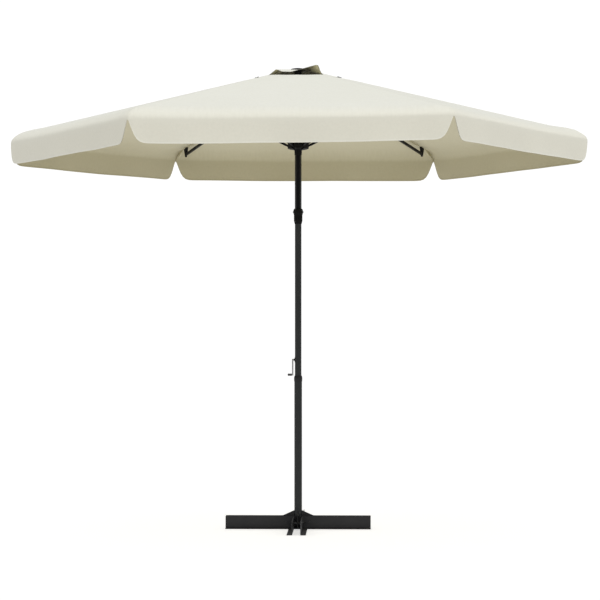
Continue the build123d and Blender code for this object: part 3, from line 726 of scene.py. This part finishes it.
FIN_DEPTH = 0.015
FIN_LEAST = 0.002
FIN_HALF = 0.0009
FIN_FADE = 0.03
FIN_WAVE = 0.0015
CAP_START, CAP_END = 1.762, 1.845  # where the rib's end fitting reaches up to the fabric
for k in range(1, RIBS + 1):
    line = rib_lines[k][: len(ROOF_ROWS) + len(BEND_ROWS)]
    reach = np.linalg.norm(line[:, :2], axis=1)
    along = np.gradient(line, axis=0)
    under = np.cross(along, rib_side(k))
    under = under / np.linalg.norm(under, axis=1, keepdims=True)
    under = under * -np.sign(under[:, 2:3])
    clear = ease((CAP_START - reach) / FIN_FADE) + ease((reach - CAP_END) / FIN_FADE)
    depth = FIN_LEAST + (FIN_DEPTH - FIN_LEAST) * np.clip(clear, 0, 1) * ease((reach - HOLE) / 0.02 + 0.15)
    depth = depth + FIN_WAVE * np.sin(41 * reach + k) * clear
    middle = line + under * (FABRIC + depth[:, None] / 2)
    fin = strip(f"gore_seam_{k}", middle, under, depth / 2, FIN_HALF, (inside,))
    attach(fin, f"rib_{k}")
    places = np.repeat(reach, 4)
    add_cloth(fin.data, np.column_stack([places * 0 + 0.3, places, places * 0 + 0.5]), places)

POCKET_START, POCKET_END = 1.868, 1.955
POCKET_HANG = 0.034
POCKET_SWELL = 0.011
POCKET_ROWS = 15
POCKET_SIDES = 16
for k in range(1, RIBS + 1):
    line = rib_lines[k][len(ROOF_ROWS) - 2 : len(ROOF_ROWS) + len(BEND_ROWS)]
    reach = np.linalg.norm(line[:, :2], axis=1)
    stations = np.linspace(POCKET_START, POCKET_END, POCKET_ROWS)
    top = np.interp(stations, reach, line[:, 2])
    rings = []
    for place, height, t in zip(stations, top, np.linspace(0, 1, POCKET_ROWS)):
        fullness = math.sin(math.pi * min(max(t, 0.03), 0.97)) ** 0.6
        hang, swell = POCKET_HANG * fullness, POCKET_SWELL * fullness
        ring = []
        for turn in np.linspace(0, 2 * math.pi, POCKET_SIDES, endpoint=False):
            side = swell * math.sin(turn) * (0.55 - 0.45 * math.cos(turn))
            down = 0.004 + hang * (1 - math.cos(turn)) / 2 + 0.001 * math.sin(9 * t + 3 * turn)
            ring.append(rib_way(k) * place + rib_side(k) * side + np.array([0, 0, height - down]))
        rings.append(ring)
    pocket = tube_of_rings(f"corner_pocket_{k}", np.array(rings), (inside,), True)
    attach(pocket, f"rib_{k}")
    spot = np.array([v.co for v in pocket.data.vertices])
    add_cloth(pocket.data, spot * [1, 1, 0] + [0, 0, 0.5], np.ones(len(spot)))

TIE_HALF = 0.008
TIE_THICK = 0.0026
TIED_RIBS = (1, 2, 3, 4)
for k in TIED_RIBS:
    edge = float(cap_edge(np.array([float(k)]))[0])
    slope = (CAP_TOP - edge) / (CAP_OUT - CAP_SHOULDER)
    outline = (
        (CAP_OUT - 0.014, edge + 0.014 * slope + 0.0028),
        (CAP_OUT - 0.004, edge + 0.004 * slope + 0.0032),
        (CAP_OUT + 0.0034, edge + 0.0008),
        (CAP_OUT + 0.0040, edge - 0.0022),
        (CAP_OUT + 0.008, roof_height(CAP_OUT + 0.008) + 0.0014),
        (CAP_OUT + 0.014, roof_height(CAP_OUT + 0.014) + 0.0018),
    )
    middle = np.array([rib_way(k) * r + np.array([0, 0, z]) for r, z in outline])
    across = np.tile(rib_side(k), (len(outline), 1))
    tie = strip(f"vent_tie_{k}", middle, across, TIE_HALF, TIE_THICK / 2, (webbing,))
    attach(tie, f"rib_{k}")

# ---------------------------------------------------------------- lift cord
CORD_SIDES = 12
CORD_ROWS = 61
heights = np.linspace(RUNNER_TOP, PULLEY_Z, CORD_ROWS)
around = np.linspace(0, 2 * math.pi, CORD_SIDES, endpoint=False)
rings = np.array(
    [[(CORD_R * math.cos(a), CORD_Y + CORD_R * math.sin(a), height) for a in around] for height in heights]
)
lift_cord = tube_of_rings("lift_cord_braid", rings, (cord_fibre,), True)
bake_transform(lift_cord)
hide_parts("lift_cord")

# ---------------------------------------------------------------- stage, lights and camera
FLOOR_HALF = 60
FLOOR_GLOW = 0.55
FLOOR_GLOW_SEEN = 0.62  # a little more to the camera, so the floor is as white as the backdrop
SURROUND = 0.50
BACKDROP = 1.05
LIGHT_DISTANCE = 12
floor_points = [(x * FLOOR_HALF, y * FLOOR_HALF, 0) for x, y in ((-1, -1), (1, -1), (1, 1), (-1, 1))]
floor_material, floor_shader = new_material("floor_pale", (0.86, 0.86, 0.855), 0.9)
floor_shader.inputs["Emission Color"].default_value = (1, 1, 1, 1)
to_camera = add_node(floor_material, "ShaderNodeLightPath").outputs["Is Camera Ray"]
link(
    floor_material,
    ranged(floor_material, to_camera, 0, 1, FLOOR_GLOW, FLOOR_GLOW_SEEN),
    floor_shader.inputs["Emission Strength"],
)
floor_shader.inputs["Specular IOR Level"].default_value = 0.1
floor = new_piece("floor", floor_points, [(0, 1, 2, 3)], (floor_material,), None, False)

world = bpy.data.worlds.new("studio")
bpy.context.scene.world = world
world.use_nodes = True
tree = world.node_tree
surround = tree.nodes["Background"]
surround.inputs["Color"].default_value = (1, 1, 1, 1)
surround.inputs["Strength"].default_value = SURROUND
backdrop = tree.nodes.new("ShaderNodeBackground")
backdrop.inputs["Color"].default_value = (1, 1, 1, 1)
backdrop.inputs["Strength"].default_value = BACKDROP
seen = tree.nodes.new("ShaderNodeLightPath")
choose = tree.nodes.new("ShaderNodeMixShader")
tree.links.new(seen.outputs["Is Camera Ray"], choose.inputs[0])
tree.links.new(surround.outputs[0], choose.inputs[1])
tree.links.new(backdrop.outputs[0], choose.inputs[2])
tree.links.new(choose.outputs[0], tree.nodes["World Output"].inputs[0])


def sun(name, strength, angle, azimuth, elevation, shines_on=None):
    """A broad soft light from that side. Azimuth 0 is the front, and 90 the right."""
    light = bpy.data.lights.new(name, "SUN")
    light.energy = strength
    light.angle = math.radians(angle)
    lamp = bpy.data.objects.new(name, light)
    a, h = math.radians(azimuth), math.radians(elevation)
    towards = Vector((math.sin(a) * math.cos(h), -math.cos(a) * math.cos(h), math.sin(h)))
    lamp.rotation_mode = "QUATERNION"
    lamp.rotation_quaternion = towards.to_track_quat("Z", "Y")
    lamp.location = towards * LIGHT_DISTANCE
    bpy.context.scene.collection.objects.link(lamp)
    if shines_on:
        lamp.light_linking.receiver_collection = shines_on


lit = bpy.data.collections.new("lit")
for thing in bpy.data.objects:
    if thing.type == "MESH" and thing is not floor:
        lit.objects.link(thing)
sun("key", 2.0, 50, 22, 68, lit)

SENSOR = 36.0
FOCAL_LENGTH = 127.3
SHIFT = (0.00305, 0.046)
CAMERA_PLACE = (0.401, -14.631, 1.385)
CAMERA_TURN = math.radians(1.57)
FAR_END = 300
lens = bpy.data.cameras.new("camera")
lens.sensor_width = SENSOR
lens.lens = FOCAL_LENGTH
lens.shift_x = SHIFT[0]
lens.shift_y = SHIFT[1]
lens.clip_end = FAR_END
camera = bpy.data.objects.new("camera", lens)
camera.location = CAMERA_PLACE
camera.rotation_euler = (math.radians(90), 0, CAMERA_TURN)
bpy.context.scene.collection.objects.link(camera)
bpy.context.scene.camera = camera
bpy.context.scene.view_settings.view_transform = "Standard"
bpy.context.scene.cycles.use_denoising = True
